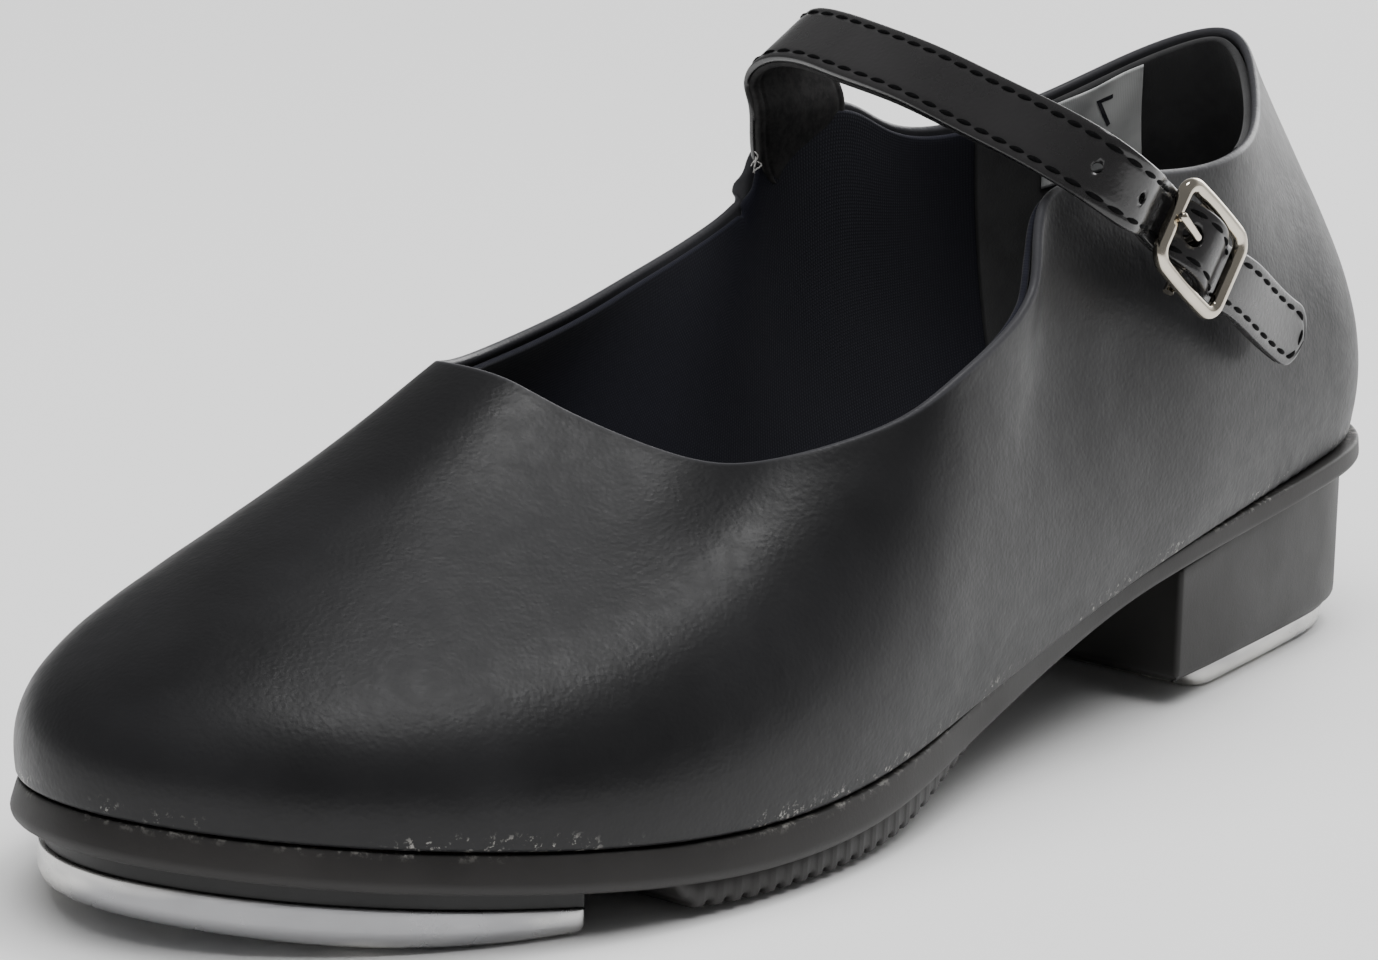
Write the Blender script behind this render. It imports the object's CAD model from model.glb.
import math

import bmesh
import bpy
import numpy as np
from mathutils import Matrix, Vector, noise


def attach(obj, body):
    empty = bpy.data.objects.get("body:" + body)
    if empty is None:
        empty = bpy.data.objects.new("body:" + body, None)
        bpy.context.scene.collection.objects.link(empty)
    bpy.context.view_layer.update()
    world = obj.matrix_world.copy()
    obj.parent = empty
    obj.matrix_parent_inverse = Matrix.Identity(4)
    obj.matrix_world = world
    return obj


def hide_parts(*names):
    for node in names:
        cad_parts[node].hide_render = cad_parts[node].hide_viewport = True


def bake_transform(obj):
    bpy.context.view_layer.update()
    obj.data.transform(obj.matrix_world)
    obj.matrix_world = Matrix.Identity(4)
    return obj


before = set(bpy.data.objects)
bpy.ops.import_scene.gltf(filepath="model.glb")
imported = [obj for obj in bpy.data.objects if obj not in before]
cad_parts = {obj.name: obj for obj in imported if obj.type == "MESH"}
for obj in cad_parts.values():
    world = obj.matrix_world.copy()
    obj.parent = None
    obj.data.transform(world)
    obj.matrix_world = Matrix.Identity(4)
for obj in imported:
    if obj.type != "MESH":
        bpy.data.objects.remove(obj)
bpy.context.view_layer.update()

# Lengths below are millimetres in the part's own drawing frame. CENTRING moves
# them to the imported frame, and MM turns them into metres.
CENTRING = np.array([-0.402, -0.968, 0.0])
MM = 0.001

# Each station is one line up the upper: its foot on the feather edge (x, y) and
# its head on the topline (x, y, z), from the heel's back round the outer side.
STATIONS = [
    ((0.2, 129.3), (-5.3, 119.6, 89.6)),
    ((19.4, 121.6), (6.4, 110.8, 86.0)),
    ((25.3, 105.2), (17.8, 95.2, 81.8)),
    ((28.6, 85.1), (26.5, 78.0, 80.3)),
    ((32.0, 60.2), (28.5, 62.0, 80.0)),
    ((33.4, 43.0), (28.9, 48.0, 81.3)),
    ((35.1, 27.0), (29.4, 34.0, 82.2)),
    ((37.3, 11.0), (30.6, 23.5, 79.9)),
    ((40.1, -5.0), (34.8, 17.0, 71.0)),
    ((43.7, -25.0), (38.6, -1.5, 63.4)),
    ((44.9, -54.9), (35.3, -18.0, 56.7)),
    ((39.9, -81.9), (26.0, -31.0, 52.6)),
    ((30.0, -103.0), (15.0, -36.5, 52.2)),
    ((16.1, -119.1), (2.0, -43.5, 57.0)),
    ((-6.2, -128.6), (-8.0, -47.0, 61.0)),
    ((-26.7, -119.3), (-19.0, -46.0, 61.0)),
    ((-38.6, -100.2), (-26.0, -36.0, 58.6)),
    ((-44.3, -78.1), (-30.5, -21.0, 58.0)),
    ((-43.2, -55.1), (-33.0, -5.0, 59.2)),
    ((-34.9, -24.0), (-34.7, 12.0, 62.0)),
    ((-28.6, 3.0), (-35.7, 28.0, 65.4)),
    ((-26.9, 24.0), (-35.9, 39.4, 70.6)),
    ((-27.8, 42.0), (-35.0, 41.8, 77.6)),
    ((-28.8, 57.0), (-33.8, 56.5, 82.0)),
    ((-29.7, 71.0), (-33.2, 68.0, 78.2)),
    ((-29.9, 88.0), (-31.5, 81.0, 75.6)),
    ((-26.9, 105.2), (-26.0, 98.0, 78.6)),
    ((-17.9, 121.2), (-17.5, 112.8, 85.2)),
]
SOLE_TOP = [
    (-150.0, 21.5), (-129.0, 17.6), (-90.0, 12.6), (-60.0, 10.0), (-30.0, 10.4), (0.0, 13.9),
    (30.0, 18.8), (60.0, 24.1), (90.0, 27.1), (129.0, 30.1), (150.0, 31.5),
]
SOLE_EDGE = [
    (-150.0, 1.4), (-60.0, 1.4), (-20.0, 1.0), (15.0, -1.2), (45.0, -1.2), (75.0, 0.3), (150.0, 0.5),
]
TREAD_LOW = [
    (-70.0, 1.9), (-58.0, 0.8), (-46.0, 0.6), (-32.0, 0.7), (-16.0, 2.2), (2.0, 7.2), (20.0, 11.7),
    (40.0, 16.4), (61.0, 20.6),
]
TREAD_FRONT = -70.0
HEEL_BREAST = 61.0
TAP_REAR = -80.0
HEEL_TAP_FRONT = 71.0
HEEL_TAP_THICK = 3.5


# ---- smooth curves
def lengths_along(points):
    steps = np.linalg.norm(np.diff(points, axis=0), axis=1)
    return np.concatenate([[0], np.cumsum(steps)])


def full_turn(count):
    return np.linspace(0, 2 * math.pi, count, endpoint=False)


def arc(first, last, count):
    """Cosine and sine of angles in degrees."""
    return [(math.cos(math.radians(a)), math.sin(math.radians(a))) for a in np.linspace(first, last, count)]


class Smooth:
    """A smooth curve through points at given marks, closed or open."""

    def __init__(self, marks, points, closed=False):
        self.marks = np.asarray(marks, float)
        points = np.asarray(points, float)
        if points.ndim == 1:
            points = points[:, None]
        if closed:
            points = np.vstack([points, points[:1]])
        self.closed = closed
        self.points = points
        count = len(points)
        step = np.diff(self.marks)
        self.step = step
        slope = np.diff(points, axis=0) / step[:, None]
        left = np.zeros((count, count))
        right = np.zeros((count, points.shape[1]))
        for i in range(1, count - 1):
            left[i, i - 1:i + 2] = step[i - 1], 2 * (step[i - 1] + step[i]), step[i]
            right[i] = 6 * (slope[i] - slope[i - 1])
        if closed:
            left[0, 0] = 2 * (step[-1] + step[0])
            left[0, 1] = step[0]
            left[0, count - 2] = step[-1]
            right[0] = 6 * (slope[0] - slope[-1])
            left[-1, 0], left[-1, -1] = 1, -1
        else:
            first = self.end_slope(self.marks[:4], points[:4], 0)
            last = self.end_slope(self.marks[-4:], points[-4:], -1)
            left[0, 0], left[0, 1] = 2 * step[0], step[0]
            right[0] = 6 * (slope[0] - first)
            left[-1, -1], left[-1, -2] = 2 * step[-1], step[-1]
            right[-1] = 6 * (last - slope[-1])
        self.bend = np.linalg.solve(left, right)

    @staticmethod
    def end_slope(marks, points, end):
        """Slope at one end of the cubic through the four points there."""
        local = marks - marks[end]
        powers = np.vander(local, len(local), increasing=True)
        return np.linalg.solve(powers, points)[1]

    def at(self, mark):
        mark = np.asarray(mark, float)
        if self.closed:
            mark = np.mod(mark, self.marks[-1])
        i = np.clip(np.searchsorted(self.marks, mark, side="right") - 1, 0, len(self.step) - 1)
        h = self.step[i][..., None]
        b = (mark - self.marks[i])[..., None] / h
        a = 1 - b
        return (a * self.points[i] + b * self.points[i + 1]
                + ((a ** 3 - a) * self.bend[i] + (b ** 3 - b) * self.bend[i + 1]) * h * h / 6)

    def slope(self, mark, reach=0.01):
        return (self.at(np.asarray(mark) + reach) - self.at(np.asarray(mark) - reach)) / (2 * reach)


def height_of(points):
    """A number along the shoe, as a function of y."""
    curve = Smooth([y for y, value in points], [value for y, value in points])
    return lambda y: curve.at(y)[..., 0]


sole_top = height_of(SOLE_TOP)
sole_edge = height_of(SOLE_EDGE)
tread_low = height_of(TREAD_LOW)


def ease(value, low, high):
    """0 below low, 1 above high, smooth between."""
    share = np.clip((np.asarray(value, float) - low) / (high - low), 0, 1)
    return share * share * (3 - 2 * share)


def unit(vectors):
    return vectors / np.linalg.norm(vectors, axis=-1, keepdims=True)


def sole_bottom(y):
    return sole_top(y) - (5.3 - 1.9 * ease(y, 5.0, 55.0))


FEET = np.array([foot for foot, head in STATIONS])
MARKS = np.concatenate([[0], np.cumsum(np.linalg.norm(np.roll(FEET, -1, 0) - FEET, axis=1))])
LENGTH = MARKS[-1]
FEATHER = Smooth(MARKS, FEET, closed=True)


def outward(mark):
    """Unit vector out of the feather edge, in plan, as (x, y, 0)."""
    along = unit(FEATHER.slope(mark))
    return np.stack([-along[..., 1], along[..., 0], 0 * along[..., 0]], -1)


def softened(values, passes):
    """The stations' values evened out round the shoe."""
    for step in range(passes):
        values = np.roll(values, 1, 0) * 0.25 + values * 0.5 + np.roll(values, -1, 0) * 0.25
    return values


def profile_net():
    """Five control points up each station; the lower ones follow an evened-out topline."""
    out = outward(MARKS[:-1])
    feet = np.column_stack([FEET, sole_top(FEET[:, 1]) + 0.1])
    spans = np.array([head for foot, head in STATIONS]) - feet
    far = softened(spans, 4)
    near = softened(spans, 1)
    vamp = np.minimum(np.linalg.norm(far[:, :2], axis=1) / 80.0, 1.0)[:, None]
    plan, lift = np.array([1, 1, 0]), np.array([0, 0, 1])
    swell = out * (4.4 - 2.6 * vamp)
    low = feet + swell + far * lift * 0.28
    middle = (feet + far * plan * 0.45 * (1 - vamp) + swell * (0.8 - 0.6 * vamp)
              + far * lift * (0.50 - 0.10 * vamp))
    high = (feet + near * plan * (0.85 - 0.43 * vamp) + out * 1.5 * (1 - vamp)
            + near * lift * (0.78 - 0.27 * vamp))
    return np.stack([feet, low, middle, high, feet + spans], 1)


NET = profile_net()
RINGS = [Smooth(MARKS, NET[:, j], closed=True) for j in range(5)]
CHOOSE = [1, 4, 6, 4, 1]


def skin_point(mark, height):
    total = 0
    for j, ring in enumerate(RINGS):
        weight = CHOOSE[j] * height ** j * (1 - height) ** (4 - j)
        total = total + ring.at(mark) * weight[..., None]
    return total


def skin(mark, height, depth=0.0):
    """Points of the upper moved inwards by depth, with its outward normals and upward directions."""
    mark, height = np.broadcast_arrays(np.asarray(mark, float), np.asarray(height, float))
    point = skin_point(mark, height)
    up = skin_point(mark, np.minimum(height + 0.004, 1)) - skin_point(mark, np.maximum(height - 0.004, 0))
    along = skin_point(mark + 0.3, height) - skin_point(mark - 0.3, height)
    normal = unit(np.cross(up, along))
    return point - normal * np.asarray(depth)[..., None], normal, unit(up)


# ---- meshes
def new_mesh(name, points, faces, material, smooth=True):
    """A piece from points in millimetres of the drawing frame."""
    points = (np.asarray(points, float).reshape(-1, 3) + CENTRING) * MM
    mesh = bpy.data.meshes.new(name)
    mesh.from_pydata(points.tolist(), [], faces)
    mesh.validate()
    mesh.update()
    if smooth:
        mesh.polygons.foreach_set("use_smooth", [True] * len(mesh.polygons))
    piece = bpy.data.objects.new(name, mesh)
    bpy.context.scene.collection.objects.link(piece)
    if material:
        mesh.materials.append(material)
    return piece


def outward_faces(piece):
    """Turns every face of a closed piece to look out."""
    work = bmesh.new()
    work.from_mesh(piece.data)
    bmesh.ops.recalc_face_normals(work, faces=work.faces)
    work.to_mesh(piece.data)
    work.free()
    return piece


def attribute(piece, name, values):
    layer = piece.data.attributes.new(name, "FLOAT", "POINT")
    layer.data.foreach_set("value", np.asarray(values, np.float32).ravel())


def unwrap(piece, across, along):
    """UV in millimetres from one pair of numbers per point."""
    mesh = piece.data
    layer = mesh.uv_layers.new(name="surface")
    loops = np.empty(len(mesh.loops), int)
    mesh.loops.foreach_get("vertex_index", loops)
    uv = np.stack([np.ravel(across)[loops], np.ravel(along)[loops]], -1)
    layer.data.foreach_set("uv", (uv * 0.1).ravel())


def loft_faces(rings, size, wrap_rings=False, wrap_size=True):
    """Quads between rings of points, each of the same size."""
    faces = []
    for i in range(rings if wrap_rings else rings - 1):
        here = i * size
        there = ((i + 1) % rings) * size
        for j in range(size if wrap_size else size - 1):
            k = (j + 1) % size
            faces.append((here + j, here + k, there + k, there + j))
    return faces


def ladder(start, size, turned):
    """Closes a loop of points by quads between its two sides."""
    faces = []
    for i in range((size - 1) // 2):
        quad = [start + i, start + i + 1, start + size - 2 - i, start + size - 1 - i]
        quad = list(dict.fromkeys(quad))
        if len(quad) > 2:
            faces.append(tuple(reversed(quad)) if turned else tuple(quad))
    return faces


def loft(name, sections, material, closed=False):
    """A closed piece through equal loops of points."""
    sections = np.asarray(sections, float)
    rings, size = sections.shape[:2]
    faces = loft_faces(rings, size, wrap_rings=closed)
    if not closed:
        faces += ladder(0, size, True) + ladder((rings - 1) * size, size, False)
    return outward_faces(new_mesh(name, sections, faces, material))


def capped(name, rings, material):
    """A closed piece through rings of points, with a flat face at each end."""
    sections = np.stack(rings)
    count, size = sections.shape[:2]
    faces = loft_faces(count, size)
    faces += [tuple(range(size)), tuple(range((count - 1) * size, count * size))]
    return outward_faces(new_mesh(name, sections, faces, material))


def plan_ring(offset, marks):
    """Points on the feather edge moved out by offset, a number or a function of y."""
    foot = FEATHER.at(marks)
    distance = offset(foot[..., 1]) if callable(offset) else offset
    return foot + outward(marks)[..., :2] * np.asarray(distance)[..., None]


def cut_holes(piece, cutters):
    """Cuts closed meshes out of a piece."""
    for cutter in cutters:
        change = piece.modifiers.new("cut", "BOOLEAN")
        change.operation = "DIFFERENCE"
        change.solver = "EXACT"
        change.object = cutter
    bpy.context.view_layer.update()
    shape = piece.evaluated_get(bpy.context.evaluated_depsgraph_get())
    mesh = bpy.data.meshes.new_from_object(shape)
    mesh.validate()
    piece.modifiers.clear()
    piece.data = mesh
    for cutter in cutters:
        bpy.data.objects.remove(cutter)
    return piece


def tube(name, points, radii, material, sides=8, up=(0, 0, 1)):
    """A round tube along points, with its own radius at each."""
    points = np.asarray(points, float)
    along = unit(np.gradient(points, axis=0))
    side = unit(np.cross(along, np.asarray(up, float)))
    lift = np.cross(side, along)
    turn = full_turn(sides)
    ring = side[:, None] * np.cos(turn)[:, None] + lift[:, None] * np.sin(turn)[:, None]
    sections = points[:, None] + ring * np.asarray(radii, float)[:, None, None]
    return loft(name, sections, material)


def join(name, parts):
    """Makes one piece of several, with their materials."""
    work = bmesh.new()
    materials = []
    for part in parts:
        for material in part.data.materials:
            if material not in materials:
                materials.append(material)
    for part in parts:
        shift = {i: materials.index(m) for i, m in enumerate(part.data.materials)}
        for polygon in part.data.polygons:
            polygon.material_index = shift.get(polygon.material_index, 0)
        work.from_mesh(part.data)
    mesh = bpy.data.meshes.new(name)
    work.to_mesh(mesh)
    work.free()
    for part in parts:
        bpy.data.objects.remove(part)
    for material in materials:
        mesh.materials.append(material)
    piece = bpy.data.objects.new(name, mesh)
    bpy.context.scene.collection.objects.link(piece)
    return piece


# ---- materials
class Paint:
    """One procedural material, built node by node."""

    def __init__(self, name, colour, roughness, **sockets):
        self.material = bpy.data.materials.new(name)
        self.material.use_nodes = True
        self.nodes = self.material.node_tree.nodes
        self.links = self.material.node_tree.links
        self.shader = self.nodes["Principled BSDF"]
        self.place = self.nodes.new("ShaderNodeTexCoord").outputs["Object"]
        self.last_bump = None
        self.set(self.shader, "Base Color", (*colour, 1))
        self.set(self.shader, "Roughness", roughness)
        for key, value in sockets.items():
            self.set(self.shader, key.replace("_", " "), value)

    def set(self, node, socket, value):
        target = node.inputs[socket]
        if isinstance(value, bpy.types.NodeSocket):
            self.links.new(value, target)
        else:
            target.default_value = value

    def node(self, kind, output=0, settings=None, **inputs):
        made = self.nodes.new("ShaderNode" + kind)
        for key, value in (settings or {}).items():
            setattr(made, key, value)
        for key, value in inputs.items():
            self.set(made, key.replace("_", " "), value)
        return made.outputs[output]

    def stretched(self, x, y, z):
        return self.node("Mapping", Vector=self.place, Scale=(x, y, z))

    def surface(self):
        """The piece's own UV, in units of 10 mm."""
        uv = self.node("UVMap", settings={"uv_map": "surface"})
        return self.node("Mapping", Vector=uv, Scale=(1.0, 1.0, 1.0))

    def noise(self, scale, detail=3.0, roughness=0.5, where=None):
        return self.node("TexNoise", Vector=where or self.place, Scale=scale, Detail=detail,
                         Roughness=roughness)

    def cells(self, scale):
        return self.node("TexVoronoi", settings={"feature": "SMOOTH_F1"}, Vector=self.place, Scale=scale)

    def math(self, operation, first, second=0.0):
        made = self.nodes.new("ShaderNodeMath")
        made.operation = operation
        self.set(made, 0, first)
        self.set(made, 1, second)
        return made.outputs[0]

    def times(self, first, second):
        return self.math("MULTIPLY", first, second)

    def plus(self, first, second):
        return self.math("ADD", first, second)

    def between(self, value, low, high, to_low=0.0, to_high=1.0):
        made = self.nodes.new("ShaderNodeMapRange")
        made.interpolation_type = "SMOOTHSTEP"
        for i, number in enumerate((value, low, high, to_low, to_high)):
            self.set(made, i, number)
        return made.outputs[0]

    def mix(self, share, first, second):
        made = self.nodes.new("ShaderNodeMix")
        made.data_type = "RGBA"
        self.set(made, 0, share)
        for i, colour in ((6, first), (7, second)):
            self.set(made, i, colour if isinstance(colour, bpy.types.NodeSocket) else (*colour, 1))
        return made.outputs[2]

    def blotches(self, texture, low, high, first, second):
        """Colour that runs from first to second where the texture passes from low to high."""
        self.colour(self.mix(self.between(texture, low, high), first, second))

    def named(self, name):
        made = self.nodes.new("ShaderNodeAttribute")
        made.attribute_name = name
        return made.outputs["Fac"]

    def colour(self, value):
        self.set(self.shader, "Base Color", value)

    def roughness(self, value):
        self.set(self.shader, "Roughness", value)

    def bump(self, height, distance, strength=1.0):
        """Adds relief, in metres of distance."""
        made = self.nodes.new("ShaderNodeBump")
        self.set(made, "Height", height)
        self.set(made, "Distance", distance)
        self.set(made, "Strength", strength)
        if self.last_bump:
            self.set(made, "Normal", self.last_bump)
        self.last_bump = made.outputs[0]
        self.set(self.shader, "Normal", self.last_bump)


def leather(name, colour, rough, grain, depth, coat=0.0, shine=0.5):
    """Smooth coated leather with a fine pebbled grain."""
    paint = Paint(name, colour, rough, Specular_IOR_Level=shine, Coat_Weight=coat, Coat_Roughness=0.25)
    cloud = paint.noise(38.0, 3.0)
    fine = paint.noise(420.0, 3.0)
    lighter = tuple(c * 1.5 for c in colour)
    paint.blotches(cloud, 0.35, 0.7, colour, lighter)
    smear = paint.plus(paint.between(cloud, 0.3, 0.7, -0.03, 0.05),
                       paint.between(fine, 0.3, 0.7, -0.02, 0.03))
    paint.roughness(paint.plus(smear, rough))
    paint.bump(paint.cells(grain), depth, 0.5)
    paint.bump(paint.noise(grain * 0.45, 4.0, 0.6), depth * 1.4, 0.45)
    return paint


def upper_leather():
    paint = leather("upper_leather", (0.0085, 0.0085, 0.0092), 0.40, 1500.0, 0.00006, shine=0.30)
    foot = paint.named("foot")
    rim = paint.named("rim")
    base = paint.nodes["Principled BSDF"].inputs["Base Color"].links[0].from_socket
    flecks = paint.times(paint.between(paint.noise(900.0, 4.0, 0.7), 0.56, 0.66),
                        paint.between(paint.noise(60.0, 2.0), 0.44, 0.58))
    glue = paint.times(flecks, paint.between(foot, 1.3, 3.4, 1.0, 0.0))
    base = paint.mix(glue, base, (0.30, 0.29, 0.27))
    edge = paint.between(rim, 0.0, 1.1, 0.75, 0.0)
    base = paint.mix(edge, base, (0.045, 0.045, 0.05))
    paint.colour(base)
    return paint.material


def woven(name, colour, thread, pitch):
    """Plain woven textile in the piece's own UV, pitch threads per 10 mm."""
    paint = Paint(name, colour, 0.88, Sheen_Weight=0.08, Sheen_Roughness=0.5, Specular_IOR_Level=0.15)
    waves = []
    for direction in ("X", "Y"):
        waves.append(paint.node("TexWave", 1, {"bands_direction": direction, "wave_type": "BANDS"},
                                Vector=paint.surface(), Scale=pitch / 3.14159, Distortion=0.6, Detail=1.0,
                                Detail_Scale=2.0))
    weave = paint.times(waves[0], waves[1])
    fluff = paint.noise(700.0, 3.0)
    share = paint.times(weave, paint.between(fluff, 0.3, 0.7, 0.5, 1.0))
    paint.colour(paint.mix(share, colour, thread))
    paint.bump(weave, 0.00008, 0.4)
    paint.bump(fluff, 0.00005, 0.4)
    return paint.material


def napped(name, colour, nap):
    """Brushed suede-like surface."""
    paint = Paint(name, colour, 0.95, Sheen_Weight=0.15, Sheen_Roughness=0.6, Specular_IOR_Level=0.12)
    cloud = paint.noise(70.0, 4.0, 0.6)
    hair = paint.noise(2200.0, 4.0, 0.7)
    paint.blotches(cloud, 0.35, 0.65, colour, nap)
    paint.bump(hair, 0.00012, 0.6)
    return paint.material


def rubber(name, colour, rough, dust=0.0):
    paint = Paint(name, colour, rough, Specular_IOR_Level=0.4)
    cloud = paint.noise(45.0, 4.0)
    grit = paint.noise(1800.0, 4.0, 0.65)
    shade = paint.mix(paint.between(cloud, 0.3, 0.7), colour, tuple(c * 1.7 for c in colour))
    if dust:
        lip = paint.named("lip")
        specks = paint.times(paint.between(paint.noise(700.0, 5.0, 0.7), 0.5, 0.62),
                            paint.between(paint.noise(50.0, 2.0), 0.46, 0.6))
        dusty = paint.times(specks, paint.times(lip, dust))
        shade = paint.mix(dusty, shade, (0.3, 0.29, 0.27))
        shade = paint.mix(paint.times(lip, 0.3), shade, (0.06, 0.06, 0.06))
    paint.colour(shade)
    paint.roughness(paint.between(cloud, 0.25, 0.75, rough - 0.06, rough + 0.1))
    paint.bump(grit, 0.00005, 0.5)
    paint.bump(paint.noise(140.0, 3.0), 0.00018, 0.35)
    return paint.material


def metal(name, colour, dark, rough, streaks=1.0, scratch=0.00002):
    """Polished metal with soft streaks and fine scratches."""
    paint = Paint(name, colour, rough, Metallic=1.0)
    band = paint.noise(26.0, 3.0, 0.5, paint.stretched(1.0, 1.0, 5.0))
    cloud = paint.noise(90.0, 4.0, 0.6)
    share = paint.times(paint.between(band, 0.38, 0.62), streaks)
    paint.colour(paint.mix(share, colour, dark))
    fine = paint.noise(900.0, 2.0, 0.5, paint.stretched(0.15, 0.15, 3.0))
    marks = paint.noise(260.0, 5.0, 0.75, paint.stretched(1.0, 1.0, 0.2))
    paint.roughness(paint.plus(paint.between(cloud, 0.3, 0.7, rough - 0.04, rough + 0.1),
                               paint.between(marks, 0.62, 0.7, 0.0, 0.15)))
    paint.bump(band, 0.0004 * streaks + 0.00001, 0.5)
    paint.bump(fine, scratch, 0.5)
    return paint.material


def fibre(name, colour, light, rough=0.8):
    """Pressed board, cork, felt and the like."""
    paint = Paint(name, colour, rough, Specular_IOR_Level=0.25)
    paint.blotches(paint.noise(600.0, 5.0, 0.7), 0.35, 0.65, colour, light)
    paint.bump(paint.noise(1500.0, 4.0), 0.00006, 0.5)
    return paint.material


def thread_material(name, colour):
    paint = Paint(name, colour, 0.85, Specular_IOR_Level=0.1)
    twist = paint.noise(2600.0, 2.0)
    paint.blotches(twist, 0.35, 0.65, colour, tuple(min(c * 2.0, 0.9) for c in colour))
    paint.bump(twist, 0.00005, 0.6)
    return paint.material


def satin_label():
    paint = Paint("label_satin", (0.55, 0.56, 0.55), 0.42, Sheen_Weight=0.4)
    weave = paint.node("TexWave", 1, {"bands_direction": "X"}, Vector=paint.surface(), Scale=9.0,
                       Distortion=0.4)
    folds = paint.noise(160.0, 2.0)
    paint.blotches(folds, 0.35, 0.65, (0.62, 0.63, 0.62), (0.42, 0.43, 0.43))
    paint.bump(weave, 0.00004, 0.4)
    paint.bump(folds, 0.0003, 0.4)
    return paint.material


UPPER = upper_leather()
LINING = woven("textile_lining", (0.0100, 0.0104, 0.0160), (0.0190, 0.0196, 0.0280), 16.0)
SUEDE = napped("suede_lining", (0.017, 0.017, 0.018), (0.034, 0.034, 0.035))
RUBBER = rubber("sole_rubber", (0.014, 0.0130, 0.0125), 0.50, dust=0.9)
HEEL = rubber("heel_plastic", (0.0070, 0.0065, 0.0060), 0.48)
PAD = rubber("sole_pad", (0.007, 0.007, 0.007), 0.45)
ALUMINIUM = metal("tap_aluminium", (0.74, 0.73, 0.70), (0.34, 0.34, 0.35), 0.28)
NICKEL = metal("buckle_nickel", (0.70, 0.64, 0.54), (0.42, 0.38, 0.32), 0.14, streaks=0.3, scratch=0.000006)
STEEL = metal("screw_steel", (0.62, 0.61, 0.58), (0.40, 0.39, 0.37), 0.32, streaks=0.4)
STRAP = leather("strap_leather", (0.0120, 0.0115, 0.0120), 0.27, 1500.0, 0.00005, coat=0.35).material
STRAP_BACK = fibre("strap_back", (0.014, 0.0135, 0.014), (0.030, 0.029, 0.029))
STITCH = thread_material("stitch_thread", (0.0022, 0.0022, 0.0024))
FRAYED = thread_material("frayed_thread", (0.42, 0.41, 0.40))
SATIN = satin_label()
INK = fibre("label_ink", (0.02, 0.02, 0.025), (0.05, 0.05, 0.055))

# ---- upper
COLUMNS = 448
marks = np.linspace(0, LENGTH, COLUMNS, endpoint=False)
EDGE_R = 0.72
TURN_R = 1.0


def topline_frame(mark, height):
    """At the topline: outward normal, direction square to it, and how slanted the stations run to it."""
    normal, up = skin(mark, height)[1:]
    along = unit(RINGS[4].slope(mark, 0.4))
    square = np.cross(normal, along)
    square = unit(square * np.sign(np.sum(square * up, -1, keepdims=True)))
    return normal, square, np.clip(np.sum(square * up, -1), 0.4, 1.0)


rise = (RINGS[4].at(marks) - RINGS[0].at(marks))[:, 2]
start = TURN_R / (4 * 0.28 * rise)
speed = 4 * np.linalg.norm(RINGS[4].at(marks) - RINGS[3].at(marks), axis=1)
edge_normal, edge_up, edge_slant = topline_frame(marks, np.full(COLUMNS, 0.985))
stop = 1 - EDGE_R / (speed * edge_slant)


def ripple(points, scale, shift):
    """Smooth noise, -1 to 1, at each point."""
    shift = Vector(shift)
    values = [noise.noise(Vector(p) * scale + shift) for p in points.reshape(-1, 3)]
    return np.array(values).reshape(points.shape[:-1])


def relief(points):
    """Gentle unevenness of stretched leather, in millimetres."""
    return ripple(points, 0.055, (0, 0, 0)) * 0.16 + ripple(points, 0.16, (7, 3, 1)) * 0.05


def puckers(mark, away):
    """Small pleats drawn in along the feather edge round the heel seat."""
    window = ease(mark, MARKS[1], MARKS[2]) * (1 - ease(mark, MARKS[3], MARKS[4]))
    wave = np.sin(mark * 2 * math.pi / 3.1 + np.sin(mark * 0.31) * 2)
    return window * np.exp(-(away / 3.0) ** 2) * wave * 0.10


def make_upper():
    rows = 64
    share = np.linspace(0, 1, rows)
    share = share - 0.06 * np.sin(2 * math.pi * share)
    height = start[:, None] + (stop - start)[:, None] * share
    grid_marks = np.repeat(marks[:, None], rows, 1)
    point, normal, up = skin(grid_marks, height)
    steps = np.linalg.norm(np.diff(point, axis=1), axis=2)
    travelled = np.concatenate([np.zeros((COLUMNS, 1)), np.cumsum(steps, 1)], 1)
    away = travelled + TURN_R
    fade = ease(travelled, 0.0, 3.0) * ease(travelled[:, -1:] - travelled, 0.0, 3.0)
    lift = relief(point) * fade + puckers(grid_marks, travelled)
    body = point + normal * lift[..., None]
    turned = []
    for cos, sin in arc(90, 12, 6):
        turned.append(body[:, 0] - normal[:, 0] * TURN_R * (1 - cos) - up[:, 0] * TURN_R * sin)
    under = turned[0] - normal[:, 0] * [1, 1, 0] * 2.4
    rolled = []
    for cos, sin in arc(14, 180, 12):
        rolled.append(body[:, -1] - edge_normal * EDGE_R * (1 - cos) + edge_up * EDGE_R * sin)
    inside = []
    for back in np.linspace(0.004, 0.16, 5):
        inside.append(skin(marks, stop - back, 2 * EDGE_R)[0])
    columns = [under] + turned + [body[:, j] for j in range(rows)] + rolled + inside
    points = np.stack(columns, 1)
    size = points.shape[1]
    faces = loft_faces(COLUMNS, size, wrap_rings=True, wrap_size=False)
    piece = new_mesh("upper_shell", points, faces, UPPER)
    foot = np.zeros((COLUMNS, size))
    foot[:, 7:7 + rows] = away
    foot[:, 7 + rows:] = 50.0
    rim = np.zeros((COLUMNS, size))
    rim[:, 7:7 + rows] = travelled[:, -1:] - travelled + 0.6
    rim[:, :7] = 60.0
    attribute(piece, "foot", foot)
    attribute(piece, "rim", rim)
    thick = piece.modifiers.new("leather", "SOLIDIFY")
    thick.thickness = 0.0003
    thick.offset = -1.0
    return piece


upper = make_upper()
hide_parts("upper")
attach(upper, "shoe")


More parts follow.
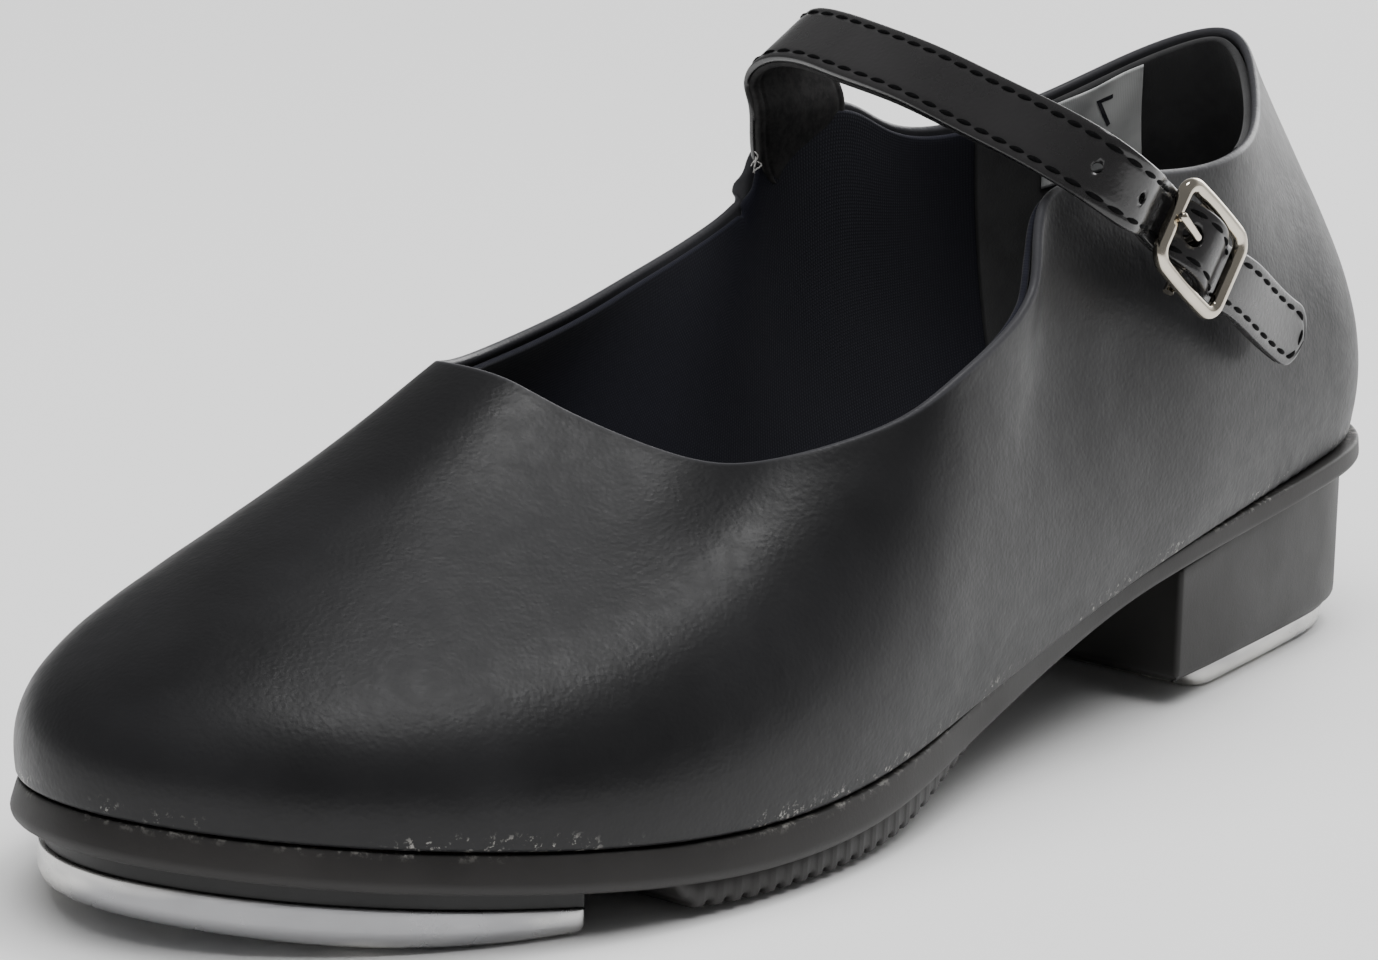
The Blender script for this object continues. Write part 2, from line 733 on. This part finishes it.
# ---- linings
LINING_OUT = 1.62
LINING_IN = 2.60
HEEL_SEAM_OUTER = 0.5 * (MARKS[2] + MARKS[3])
HEEL_SEAM_INNER = 0.5 * (MARKS[25] + MARKS[26])
SEAM_LAP = 2.6


def lining(name, first, last, material, low=0.07, thicker=0.0, count=220):
    """One lining panel between two marks, with a rounded top edge just below the topline."""
    span = np.linspace(first, last, count)
    head = np.linalg.norm(RINGS[4].at(span) - RINGS[3].at(span), axis=1) * 4
    top_normal, top_up, slant = topline_frame(span, np.full(count, 0.985))
    top = 1 - 1.6 / (head * slant)
    share = np.linspace(0, 1, 44)
    height = low + (top - low)[:, None] * share
    grid = np.repeat(span[:, None], len(share), 1)
    deep = LINING_IN + thicker
    inner, normal = skin(grid, height, np.full(height.shape, deep))[:2]
    inner = inner + normal * (ripple(inner, 0.07, (0, 5, 9)) * 0.12)[..., None]
    outer = skin(grid, height, np.full(height.shape, LINING_OUT))[0]
    half = 0.5 * (deep - LINING_OUT)
    roll = []
    for angle in (20, 50, 90, 130, 160):
        a = math.radians(angle)
        middle = 0.5 * (inner[:, -1] + outer[:, -1])
        roll.append(middle - top_normal * half * math.cos(a) + top_up * half * math.sin(a))
    sections = np.concatenate([inner, np.stack(roll, 1), outer[:, ::-1]], 1)
    piece = loft(name, sections, material)
    away = np.concatenate([share * 60, [60] * len(roll), share[::-1] * 60])
    unwrap(piece, np.repeat(span[:, None], sections.shape[1], 1), np.repeat(away[None], count, 0))
    return piece


vamp_lining = lining("lining_front", HEEL_SEAM_OUTER + 0.6, HEEL_SEAM_INNER - 0.6, LINING, count=380)
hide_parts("vamp_lining")
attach(vamp_lining, "shoe")
heel_lining = lining("lining_heel", HEEL_SEAM_INNER - SEAM_LAP, HEEL_SEAM_OUTER + LENGTH + SEAM_LAP,
                     SUEDE, thicker=0.35)
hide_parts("heel_lining")
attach(heel_lining, "shoe")


# ---- size label
LABEL_START = MARKS[26] + 1.0
LABEL_END = MARKS[27] + 1.0
LABEL_LOW = 0.70
LABEL_HIGH = 0.975
LABEL_DEPTH = LINING_IN + 0.62


def label_point(across, up, depth):
    """A point of the label, with across and up from 0 to 1."""
    mark = LABEL_END + (LABEL_START - LABEL_END) * across
    height = LABEL_LOW + (LABEL_HIGH - LABEL_LOW) * up
    curl = 0.25 * np.sin(across * 9.0 + up * 3.0) * np.sin(up * 4.0)
    return skin(mark, height, depth - curl)[0]


def make_label():
    across, up = np.meshgrid(np.linspace(0, 1, 40), np.linspace(0, 1, 30), indexing="ij")
    front = label_point(across, up, np.full(across.shape, LABEL_DEPTH + 0.14))
    back = label_point(across, up, np.full(across.shape, LABEL_DEPTH))
    sections = np.concatenate([front, back[:, ::-1]], 1)
    piece = loft("label_tab", sections, SATIN)
    width = LABEL_END - LABEL_START
    unwrap(piece, np.concatenate([across, across], 1) * width, np.concatenate([up, up[:, ::-1]], 1) * 18)
    return piece


def make_label_print():
    """The size number and a row of small size numbers, laid on the label."""
    parts = []
    for words, size, x, y in (("7", 0.40, 0.30, 0.50), ("38", 0.20, 0.62, 0.56), ("24", 0.13, 0.30, 0.30),
                              ("5", 0.13, 0.47, 0.30), ("7", 0.13, 0.62, 0.30), ("38", 0.13, 0.74, 0.30)):
        text = bpy.data.curves.new("digits", "FONT")
        text.body = words
        text.size = size
        text.resolution_u = 3
        holder = bpy.data.objects.new("digits", text)
        bpy.context.scene.collection.objects.link(holder)
        bpy.context.view_layer.update()
        mesh = bpy.data.meshes.new_from_object(holder.evaluated_get(bpy.context.evaluated_depsgraph_get()))
        flat = np.array([v.co for v in mesh.vertices])
        faces = [tuple(p.vertices) for p in mesh.polygons]
        bpy.data.objects.remove(holder)
        points = label_point(x + flat[:, 0], y + flat[:, 1] * 1.2, np.full(len(flat), LABEL_DEPTH + 0.17))
        parts.append(new_mesh("digits", points, faces, INK, smooth=False))
    return join("label_print", parts)


label = make_label()
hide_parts("size_label")
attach(label, "shoe")
label_print = make_label_print()
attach(label_print, "shoe")


# ---- sole
def make_band():
    """The sole's edge: it flares out towards its lower corner in the forepart."""
    foot_y = FEATHER.at(marks)[:, 1]
    edge = sole_edge(foot_y)
    flare = 1.0 - 0.8 * ease(foot_y, -45.0, 10.0)
    thick = sole_top(foot_y) - sole_bottom(foot_y)
    rings = []
    lips = []
    for shift, drop in ((-5.0, -0.02), (-0.9, -0.02), (-0.45, -0.02), (-0.12, -0.10), (0.0, -0.32)):
        offset = edge - flare + shift
        rings.append((offset, np.full(COLUMNS, drop)))
        lips.append(1.0 if shift < -0.1 else 0.25)
    for share, drop in ((0.25, 0.20), (0.62, 0.45), (0.92, 0.66), (1.0, 0.75)):
        rings.append((edge - flare * (1 - share), -thick * drop))
        lips.append(0.0)
    for shift, drop in ((-0.05, 0.82), (-0.22, 0.90), (-0.55, 0.965), (-1.0, 0.995), (-7.0, 1.0)):
        rings.append((edge + shift, -thick * drop))
        lips.append(0.0)
    columns = []
    for offset, drop in rings:
        plan = FEATHER.at(marks) + outward(marks)[:, :2] * offset[:, None]
        rough = np.array([noise.noise(Vector((x * 0.12, y * 0.12, 4.0))) for x, y in plan]) * 0.10
        columns.append(np.column_stack([plan, sole_top(plan[:, 1]) + drop + rough * (drop > -1.0)]))
    sections = np.stack(columns, 1)
    piece = loft("sole_band", sections, RUBBER, closed=True)
    attribute(piece, "lip", np.repeat(np.array(lips)[None], COLUMNS, 0))
    return piece


def side_x(offset, y):
    """Inner and outer x of the feather edge moved out by offset, at y."""
    dense = np.linspace(0, LENGTH, 3000, endpoint=False)
    ring = plan_ring(offset, dense)
    toe = int(np.argmin(ring[:, 1]))
    outer = ring[:toe + 1][::-1]
    inner = ring[toe:]
    return np.interp(y, inner[:, 1], inner[:, 0]), np.interp(y, outer[:, 1], outer[:, 0])


RIB_PITCH = 3.3


def make_tread():
    """Sole plate and ribbed tread, one section across the shoe at each y."""
    front = np.concatenate([np.linspace(-122, TREAD_FRONT - 0.3, 30), [TREAD_FRONT - 0.05]])
    ribs = np.arange(TREAD_FRONT, HEEL_BREAST, RIB_PITCH / 10)
    rear = np.linspace(HEEL_BREAST + 0.1, 122, 16)
    y = np.concatenate([front, ribs, rear])
    low = sole_bottom(y) + 0.02
    inside = (y >= TREAD_FRONT) & (y <= HEEL_BREAST)
    phase = np.mod(y - TREAD_FRONT, RIB_PITCH) / RIB_PITCH
    groove = 0.8 * (1 - ease(np.abs(phase - 0.5), 0.20, 0.36))
    tread = tread_low(np.clip(y, TREAD_FRONT, HEEL_BREAST)) + 0.8 - groove
    entry = ease(y, TREAD_FRONT, TREAD_FRONT + 4.0)
    low = np.where(inside, np.minimum(low, tread * entry + low * (1 - entry)), low)
    inner, outer = side_x(lambda v: sole_edge(v) - 1.5, y)
    top = sole_bottom(y) + 1.0
    sections = []
    for i in range(len(y)):
        left, right, z0, z1 = inner[i], outer[i], low[i], top[i]
        curve = min(0.9, 0.45 * (z1 - z0))
        loop = [(left, z1), (left, z0 + curve), (left + curve * 0.3, z0 + curve * 0.3), (left + curve, z0)]
        for t in np.linspace(0.1, 0.9, 9):
            loop.append((left + curve + (right - left - 2 * curve) * t, z0))
        loop += [(right - curve, z0), (right - curve * 0.3, z0 + curve * 0.3)]
        loop += [(right, z0 + curve), (right, z1)]
        sections.append([(x, y[i], z) for x, z in loop])
    piece = loft("sole_tread", sections, RUBBER)
    attribute(piece, "lip", np.zeros(len(piece.data.vertices)))
    return piece


band = make_band()
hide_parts("outsole")
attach(band, "shoe")
tread = make_tread()
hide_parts("outsole")
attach(tread, "shoe")


# ---- heel and taps
def cut_ring(inset, cut_y, behind, corner, count=260):
    """The feather edge moved in by inset, kept on one side of a straight cut, with rounded corners."""
    dense = np.linspace(0, LENGTH, 4000, endpoint=False)
    ring = plan_ring(-inset, dense)
    keep = ring[:, 1] > cut_y if behind else ring[:, 1] < cut_y
    first = int(np.argmax(keep & ~np.roll(keep, 1)))
    run = np.roll(ring, -first, axis=0)[:int(keep.sum())]
    ends = [np.array([run[-1][0], cut_y]), np.array([run[0][0], cut_y])]
    line = np.vstack([run, np.linspace(ends[0], ends[1], 200)[1:-1]])
    for end in ends:
        away = np.linalg.norm(line - end, axis=1)
        index = np.where(away < corner)[0]
        if not len(index):
            continue
        if index[-1] - index[0] > len(line) / 2:
            line = np.roll(line, len(line) // 2, axis=0)
            away = np.linalg.norm(line - end, axis=1)
            index = np.where(away < corner)[0]
        a, b = line[index[0]], line[index[-1]]
        t = np.linspace(0, 1, 40)[:, None]
        bend = (1 - t) ** 2 * a + 2 * t * (1 - t) * end + t ** 2 * b
        line = np.vstack([line[:index[0]], bend, line[index[-1] + 1:]])
    loop = np.vstack([line, line[:1]])
    lengths = lengths_along(loop)
    places = np.linspace(0, lengths[-1], count, endpoint=False)
    return np.column_stack([np.interp(places, lengths, loop[:, i]) for i in (0, 1)])


def inward(ring):
    """Unit vectors into a closed plan ring."""
    along = np.roll(ring, -1, 0) - np.roll(ring, 1, 0)
    side = unit(np.column_stack([-along[:, 1], along[:, 0]]))
    centre = ring.mean(0)
    if np.mean(np.sum(side * (centre - ring), 1)) < 0:
        side = -side
    return side


def block(name, ring, low, high, rows, material):
    """A solid on a plan ring. rows gives (share of height, inset in mm), from the bottom up."""
    side = inward(ring)
    centre = ring.mean(0)
    rings = []

    def at(plan, share):
        bottom = low(plan[:, 1])
        return np.column_stack([plan, bottom + (high(plan[:, 1]) - bottom) * share])

    shrink = [0.02, 0.25, 0.5, 0.75, 0.9]
    first = ring + side * rows[0][1]
    for s in shrink:
        rings.append(at(centre + (first - centre) * s, rows[0][0]))
    for share, inset in rows:
        rings.append(at(ring + side * inset, share))
    last = ring + side * rows[-1][1]
    for s in reversed(shrink):
        rings.append(at(centre + (last - centre) * s, rows[-1][0]))
    return capped(name, rings, material)


def tap_bottom(y):
    return 3.6 * (np.maximum(-88.0 - y, 0.0) / 36.0) ** 2


def screw_cutter(x, y, z):
    """Room for one countersunk screw head."""
    turn = full_turn(28)
    rings = []
    for height, radius in ((-3.0, 2.75), (0.0, 2.75), (1.6, 1.45), (9.0, 1.45)):
        rings.append(np.column_stack([
            x + radius * np.cos(turn), y + radius * np.sin(turn), 0 * turn + z + height]))
    return capped("cutter", rings, None)


TOE_SCREWS = [(-3.0, -117.0), (24.0, -90.0), (-30.0, -90.0)]
HEEL_SCREWS = [(0.0, 119.0), (19.0, 84.0), (-19.0, 84.0)]
SCREW_SINK = 0.3
TOE_TAP_INSET = 2.7
TOE_TAP_DOWN = 8.0     # from the sole's top to the toe tap's
HEEL_TAP_INSET = 2.6
HEEL_INSET = 0.8


def rounded_rows(bottom_inset, radius_share):
    """Rows of a plate whose lower edge is rounded well under and whose upper edge is broken."""
    rows = []
    for cos, sin in arc(0, 90, 7):
        rows.append((radius_share * (1 - cos), bottom_inset * (1 - sin)))
    return rows + [(0.62, 0.0), (0.8, 0.02), (0.93, 0.05), (0.975, 0.12), (1.0, 0.32)]


toe_ring = cut_ring(TOE_TAP_INSET, TAP_REAR, False, 2.0)
toe_tap = block("tap_toe", toe_ring, tap_bottom, lambda y: sole_top(y) - TOE_TAP_DOWN,
                rounded_rows(1.9, 0.45), ALUMINIUM)
cut_holes(toe_tap, [screw_cutter(x, y, float(tap_bottom(y)) + SCREW_SINK) for x, y in TOE_SCREWS])
heel_ring = cut_ring(HEEL_TAP_INSET, HEEL_TAP_FRONT, True, 6.0)
heel_tap = block("tap_heel", heel_ring, lambda y: 0 * y, lambda y: 0 * y + HEEL_TAP_THICK,
                 rounded_rows(1.2, 0.4), ALUMINIUM)
cut_holes(heel_tap, [screw_cutter(x, y, SCREW_SINK) for x, y in HEEL_SCREWS])
for piece, node in ((toe_tap, "toe_tap"), (heel_tap, "heel_tap")):
    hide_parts(node)
    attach(piece, "shoe")

block_ring = cut_ring(HEEL_INSET, HEEL_BREAST, True, 0.7, count=420)
block_rows = [(0.0, 1.3), (0.02, 1.15), (0.055, 0.25), (0.075, 0.06), (0.12, 0.0)]
block_rows += [(0.3, 0.0), (0.5, 0.0), (0.7, 0.0), (0.9, 0.0), (0.975, 0.03), (1.0, 0.2)]
heel_block = block("heel_stack", block_ring, lambda y: 0 * y + HEEL_TAP_THICK + 0.05,
                   lambda y: sole_bottom(y) - 0.05, block_rows, HEEL)
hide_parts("heel_block")
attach(heel_block, "shoe")


# ---- strap
BUCKLE_CENTRE = np.array([39.6, 49.0, 71.6])
ALONG = unit(np.array([0.10, 0.75, -0.65]))
ACROSS = np.array([-0.05, 0.66, 0.75])
ACROSS = unit(ACROSS - ALONG * ALONG.dot(ACROSS))
OUT = np.cross(ALONG, ACROSS)


def at_buckle(along, across, out):
    return BUCKLE_CENTRE + ALONG * along + ACROSS * across + OUT * out


UNDER_BAR = -2.37
OVER_BAR = 0.62
TAIL_WIDTH = 9.6
# Centre of the strap, direction across it, width: from its sewn end to its tip.
STRAP_ROUTE = [
    ((-33.2, 49.6, 71.5), (0, 1, 0), 15.0),
    ((-32.8, 48.4, 77.5), (0, 1, 0), 19.5),
    ((-32.6, 48.0, 83.5), (0, 1, 0), 20.5),
    ((-34.0, 46.6, 88.0), (0, 0.98, 0.20), 17.0),
    ((-31.4, 43.4, 92.4), (0, 0.90, 0.43), 13.8),
    ((-23.0, 40.3, 94.4), (0.02, 0.88, 0.46), 12.5),
    ((-13.6, 37.3, 94.1), (0.05, 0.86, 0.50), 12.0),
    ((-0.5, 34.0, 93.0), (0.12, 0.80, 0.58), 11.0),
    ((13.2, 30.9, 90.8), (0.25, 0.68, 0.69), 10.3),
    ((28.6, 27.6, 88.1), (0.35, 0.52, 0.78), 10.0),
    ((37.4, 27.6, 85.0), (0.28, 0.50, 0.82), 10.0),
    ((39.6, 33.8, 80.6), (0.06, 0.60, 0.80), 9.8),
    (at_buckle(-9.6, 0, UNDER_BAR - 0.1), ACROSS, TAIL_WIDTH),
    (at_buckle(-7.2, 0, UNDER_BAR), ACROSS, TAIL_WIDTH),
    (at_buckle(-1.6, 0, OVER_BAR), ACROSS, TAIL_WIDTH),
    (at_buckle(1.6, 0, OVER_BAR), ACROSS, TAIL_WIDTH),
    (at_buckle(7.2, 0.5, UNDER_BAR), ACROSS, TAIL_WIDTH),
    (at_buckle(9.8, 1.3, UNDER_BAR - 0.2), ACROSS, TAIL_WIDTH),
    ((36.8, 68.2, 60.2), (-0.05, 0.52, 0.85), TAIL_WIDTH),
    ((34.4, 83.2, 52.4), (-0.05, 0.52, 0.85), TAIL_WIDTH),
]
CENTRES = np.array([centre for centre, across, width in STRAP_ROUTE], float)
WIDE = unit(np.array([across for centre, across, width in STRAP_ROUTE], float))
HALVES = np.array([width / 2 for centre, across, width in STRAP_ROUTE])
BEFORE = CENTRES[np.maximum(np.arange(len(CENTRES)) - 1, 0)]
AFTER = CENTRES[np.minimum(np.arange(len(CENTRES)) + 1, len(CENTRES) - 1)]
NORMALS = unit(np.cross(unit(AFTER - BEFORE), WIDE))
RUN = lengths_along(CENTRES)
STRAP_END = RUN[-1]
CENTRE_LINE = Smooth(RUN, CENTRES)
WIDE_LINE = Smooth(RUN, WIDE)
NORMAL_LINE = Smooth(RUN, NORMALS)
HALF_LINE = Smooth(RUN, HALVES)
TIP_ROUND = 4.2


def strap_half(run):
    """Half the strap's width, rounded off at the tip."""
    left = np.clip(STRAP_END - run, 0, TIP_ROUND)
    trim = TIP_ROUND - np.sqrt(np.maximum(TIP_ROUND ** 2 - (TIP_ROUND - left) ** 2, 0))
    return HALF_LINE.at(run)[..., 0] - trim


def strap_point(run, across, height):
    """A point of the strap: distance along it, across it and above its middle."""
    run = np.asarray(run, float)
    across = np.asarray(across, float)
    height = np.asarray(height, float)
    return (CENTRE_LINE.at(run) + unit(WIDE_LINE.at(run)) * across[..., None]
            + unit(NORMAL_LINE.at(run)) * height[..., None])


def strap_layer(name, sign, inset, material):
    """One of the strap's two layers. sign is 1 for the outer leather and -1 for the backing."""
    run = np.concatenate([np.linspace(0, STRAP_END - TIP_ROUND, 460),
                          STRAP_END - TIP_ROUND * (1 - np.sin(np.linspace(0.05, 1, 22) * math.pi / 2))])
    half = np.maximum(strap_half(run) - inset, 0.3)
    face = [(0.0, 0.72), (0.10, 0.93), (0.32, 1.05), (0.70, 1.10), (1.05, 1.09), (1.30, 1.01), (1.60, 1.01),
            (1.85, 1.09), (2.3, 1.12)]
    sections = []
    for r, h in zip(run, half):
        loop = [(-h, 0.02), (-h, 0.4)]
        loop += [(-h + min(a, h * 0.95), z) for a, z in face]
        loop += [(t * max(h - 2.3, h * 0.05), 1.13) for t in (-0.6, -0.2, 0.2, 0.6)]
        loop += [(h - min(a, h * 0.95), z) for a, z in reversed(face)]
        loop += [(h, 0.4), (h, 0.02)]
        loop = np.array(loop)
        sections.append(strap_point(np.full(len(loop), r), loop[:, 0], sign * loop[:, 1]))
    piece = loft(name, sections, material)
    size = len(sections[0])
    unwrap(piece, np.repeat(np.arange(size)[None] * 0.5, len(run), 0), np.repeat(run[:, None], size, 1))
    return piece


def hole_cutter(run, radius):
    """A round punch through the strap."""
    here = strap_point(run, 0.0, 0.0)
    normal = unit(NORMAL_LINE.at(run))
    wide = unit(WIDE_LINE.at(run))
    long = np.cross(normal, wide)
    turn = full_turn(20)
    rings = []
    for height in (-4.0, 4.0):
        circle = np.cos(turn)[:, None] * wide + np.sin(turn)[:, None] * long
        rings.append(here + normal * height + radius * circle)
    return capped("cutter", rings, None)


def nearest_run(point):
    steps = np.linspace(0, STRAP_END, 2000)
    return steps[int(np.argmin(np.linalg.norm(CENTRE_LINE.at(steps) - point, axis=1)))]


PRONG_RUN = nearest_run(at_buckle(-3.1, 0, 0.3))
SPARE_HOLE_R = 0.85
HOLES = [(PRONG_RUN, 1.7), (101.6, SPARE_HOLE_R), (94.0, SPARE_HOLE_R)]    # (distance along, radius)

strap_top = strap_layer("strap_face", 1, 0.0, STRAP)
strap_under = strap_layer("strap_backing", -1, 0.12, STRAP_BACK)
for piece in (strap_top, strap_under):
    cut_holes(piece, [hole_cutter(run, radius) for run, radius in HOLES])


STITCH_PITCH = 3.7
STITCH_GAP = 0.35


def make_stitches():
    """Two rows of long stitches, 1.5 mm in from the edges, joined round the tip."""
    inset = 1.45
    straight = np.linspace(9.0, STRAP_END - TIP_ROUND, 600)
    edge = strap_half(straight) - inset
    turn = np.linspace(0, math.pi / 2, 30)
    corner = TIP_ROUND - inset
    tip_run = STRAP_END - TIP_ROUND + corner * np.sin(turn)
    tip_edge = float(HALF_LINE.at(STRAP_END)[0]) - TIP_ROUND + corner * np.cos(turn)
    line = np.concatenate([np.column_stack([straight, edge]), np.column_stack([tip_run, tip_edge])])
    line = np.concatenate([line, (line * [1, -1])[::-1]])
    space = strap_point(line[:, 0], line[:, 1], np.full(len(line), 1.0))
    lengths = lengths_along(space)
    parts = []
    for i in range(int(lengths[-1] / STITCH_PITCH)):
        reach = np.linspace(i * STITCH_PITCH + STITCH_GAP, (i + 1) * STITCH_PITCH - STITCH_GAP, 9)
        runs = np.interp(reach, lengths, line[:, 0])
        across = np.interp(reach, lengths, line[:, 1])
        hump = 0.86 + 0.12 * np.sin(np.linspace(0, math.pi, 9))
        slant = np.linspace(-0.12, 0.12, 9) * np.sign(across)
        points = strap_point(runs, across + slant, hump)
        radii = 0.40 * np.sqrt(np.sin(np.linspace(0.12, math.pi - 0.12, 9)))
        parts.append(tube("stitch", points, radii, STITCH, up=(0.3, 0.2, 0.93)))
    return join("strap_stitches", parts)


stitches = make_stitches()


def make_thread_ends():
    """Pale ends of thread left where the strap's front edge meets the quarter."""
    parts = []
    for y, z, lean, drop in ((38.2, 76.8, 0.5, 2.2), (38.5, 76.0, -0.4, 2.6), (38.9, 75.2, 0.7, 1.6)):
        share = np.linspace(0, 1, 9)
        points = np.column_stack([
            -32.4 + 0.3 * np.sin(share * 5.0), y + lean * np.sin(share * 4.0), z - drop * share])
        radii = 0.13 * np.sqrt(np.sin(np.linspace(0.2, math.pi - 0.2, 9)))
        parts.append(tube("thread", points, radii, FRAYED, up=(1, 0, 0)))
    return join("thread_ends", parts)


thread_ends = make_thread_ends()
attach(thread_ends, "shoe")


def bend_at_hinge(piece):
    """The strap bends where it leaves the quarter; its sewn end stays."""
    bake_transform(piece)


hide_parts("strap_outer", "strap_tail", "strap_anchor")
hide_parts("strap_lining")
for piece in (strap_top, strap_under, stitches):
    bend_at_hinge(piece)


# ---- buckle
def make_buckle():
    """A flat-backed frame with a domed face and slightly bowed sides."""
    half_long, half_wide, corner = 7.9, 6.4, 2.2
    corners = []
    for sa, sb, begin in ((1, 1, 0), (-1, 1, 90), (-1, -1, 180), (1, -1, 270)):
        for cos, sin in arc(begin, begin + 90, 12):
            corners.append((sa * (half_long - corner) + corner * cos,
                            sb * (half_wide - corner) + corner * sin))
    path = []
    for first, second in zip(corners, corners[1:] + corners[:1]):
        first, second = np.array(first), np.array(second)
        count = max(int(np.linalg.norm(second - first) / 0.6), 1)
        for i in range(count):
            path.append(first + (second - first) * i / count)
    path = np.array(path)
    bow = 0.30 * (1 - (path[:, 0] / half_long) ** 2)
    path[:, 1] += np.sign(path[:, 1]) * np.maximum(bow, 0) * (np.abs(path[:, 1]) > 3)
    side = -inward(path)
    turn = full_turn(20)
    sections = []
    for point, out in zip(path, side):
        ring = []
        for t in turn:
            reach = 1.12 * math.copysign(abs(math.cos(t)) ** 0.85, math.cos(t))
            lift = max(1.05 * math.copysign(abs(math.sin(t)) ** 0.9, math.sin(t)), -0.75)
            place = point + out * reach
            ring.append(at_buckle(place[0], place[1], lift))
        sections.append(ring)
    return loft("buckle_loop", sections, NICKEL, closed=True)


buckle = make_buckle()
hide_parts("buckle_frame")
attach(buckle, "buckle")


# ---- CAD pieces that stay as they are
KEPT = {
    "toe_puff": fibre("stiffener_toe", (0.36, 0.33, 0.28), (0.46, 0.43, 0.37)),
    "heel_counter": fibre("stiffener_heel", (0.34, 0.32, 0.28), (0.44, 0.42, 0.37)),
    "bottom_filler": fibre("filler_cork", (0.30, 0.19, 0.10), (0.46, 0.32, 0.18)),
    "shank": metal("shank_steel", (0.55, 0.55, 0.56), (0.36, 0.36, 0.37), 0.38, streaks=0.5),
    "insole_board": fibre("insole_board", (0.30, 0.24, 0.17), (0.40, 0.33, 0.25)),
    "sock_liner": napped("sock_textile", (0.010, 0.010, 0.014), (0.020, 0.020, 0.026)),
    "toe_tap_pad": PAD,
    "buckle_chape": leather("chape_leather", (0.012, 0.0115, 0.012), 0.3, 1500.0, 0.00005, coat=0.3).material,
    "buckle_bar": NICKEL,
    "buckle_prong": NICKEL,
    "toe_tap_screws": STEEL,
    "heel_tap_screws": STEEL,
    "heel_nails": metal("nail_steel", (0.50, 0.49, 0.47), (0.33, 0.32, 0.30), 0.45, streaks=0.5),
}
for name, material in KEPT.items():
    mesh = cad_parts[name].data
    if not mesh.materials:
        mesh.materials.append(material)
    for i in range(len(mesh.materials)):
        mesh.materials[i] = material

# ---- stage, lights and camera
floor_paint = Paint("floor_paper", (0.93, 0.93, 0.93), 0.75, Specular_IOR_Level=0.2)
floor_paint.blotches(floor_paint.noise(3.0, 3.0), 0.3, 0.7, (0.93, 0.93, 0.93), (0.945, 0.945, 0.945))
FLOOR_HALF = 4.0     # metres
floor_mesh = bpy.data.meshes.new("floor")
floor_corners = [(FLOOR_HALF * x, FLOOR_HALF * y, 0) for x, y in ((-1, -1), (1, -1), (1, 1), (-1, 1))]
floor_mesh.from_pydata(floor_corners, [], [(0, 1, 2, 3)])
floor_mesh.materials.append(floor_paint.material)
floor = bpy.data.objects.new("floor", floor_mesh)
floor.location.z = -0.0003
bpy.context.scene.collection.objects.link(floor)

world = bpy.data.worlds.new("studio")
bpy.context.scene.world = world
world.use_nodes = True
sky = world.node_tree.nodes["Background"]
# A white backdrop behind the shoe, a dim room everywhere else.
sky_nodes = world.node_tree.nodes
sky_links = world.node_tree.links
heading = sky_nodes.new("ShaderNodeTexCoord").outputs["Generated"]
facing = sky_nodes.new("ShaderNodeVectorMath")
facing.operation = "DOT_PRODUCT"
facing.inputs[1].default_value = (-0.10, 0.99, -0.08)
sky_links.new(heading, facing.inputs[0])
brightness = sky_nodes.new("ShaderNodeMapRange")
brightness.interpolation_type = "SMOOTHSTEP"
for i, number in ((1, 0.60), (2, 0.99), (3, 0.20), (4, 1.5)):
    brightness.inputs[i].default_value = number
sky_links.new(facing.outputs["Value"], brightness.inputs[0])
sky_links.new(brightness.outputs[0], sky.inputs["Strength"])
sky.inputs["Color"].default_value = (1.0, 1.0, 1.0, 1)


def softbox(name, place, aim, width, height, power, mirrored=True):
    lamp = bpy.data.lights.new(name, "AREA")
    lamp.shape = "RECTANGLE"
    lamp.size = width
    lamp.size_y = height
    lamp.energy = power
    holder = bpy.data.objects.new(name, lamp)
    holder.location = place
    holder.rotation_euler = (Vector(aim) - Vector(place)).to_track_quat("-Z", "Y").to_euler()
    holder.visible_glossy = mirrored
    bpy.context.scene.collection.objects.link(holder)


softbox("top_box", (0.06, 0.20, 0.95), (0.02, 0.0, 0.03), 0.20, 0.24, 2.2)
softbox("room_box", (0.3, -0.2, 2.4), (0.0, 0.0, 0.0), 2.6, 2.6, 95.0, mirrored=False)
softbox("rear_box", (-0.2, 1.5, 0.5), (0.0, 0.1, 0.05), 1.0, 0.8, 10.0)

AZIMUTH = math.radians(38.63)
ELEVATION = math.radians(13.795)
ROLL = math.radians(1.658)
DISTANCE = 863.4
TARGET = np.array([-8.471, -4.896, 38.837])
FOCAL = 6147.03 / 1378.0 * 36.0

back = Vector((math.sin(AZIMUTH) * math.cos(ELEVATION), -math.cos(AZIMUTH) * math.cos(ELEVATION),
               math.sin(ELEVATION)))
right = Vector((0, 0, 1)).cross(back).normalized()
top = back.cross(right)
right_turned = math.cos(ROLL) * right + math.sin(ROLL) * top
top_turned = -math.sin(ROLL) * right + math.cos(ROLL) * top
turn = Matrix((right_turned, top_turned, back)).transposed().to_4x4()
aim = Vector((TARGET + CENTRING) * MM)
lens = bpy.data.cameras.new("camera")
lens.sensor_width = 36.0
lens.lens = FOCAL
lens.clip_start = 0.01
lens.clip_end = 50.0
camera = bpy.data.objects.new("camera", lens)
camera.matrix_world = Matrix.Translation(aim + back * DISTANCE * MM) @ turn
bpy.context.scene.collection.objects.link(camera)
bpy.context.scene.camera = camera
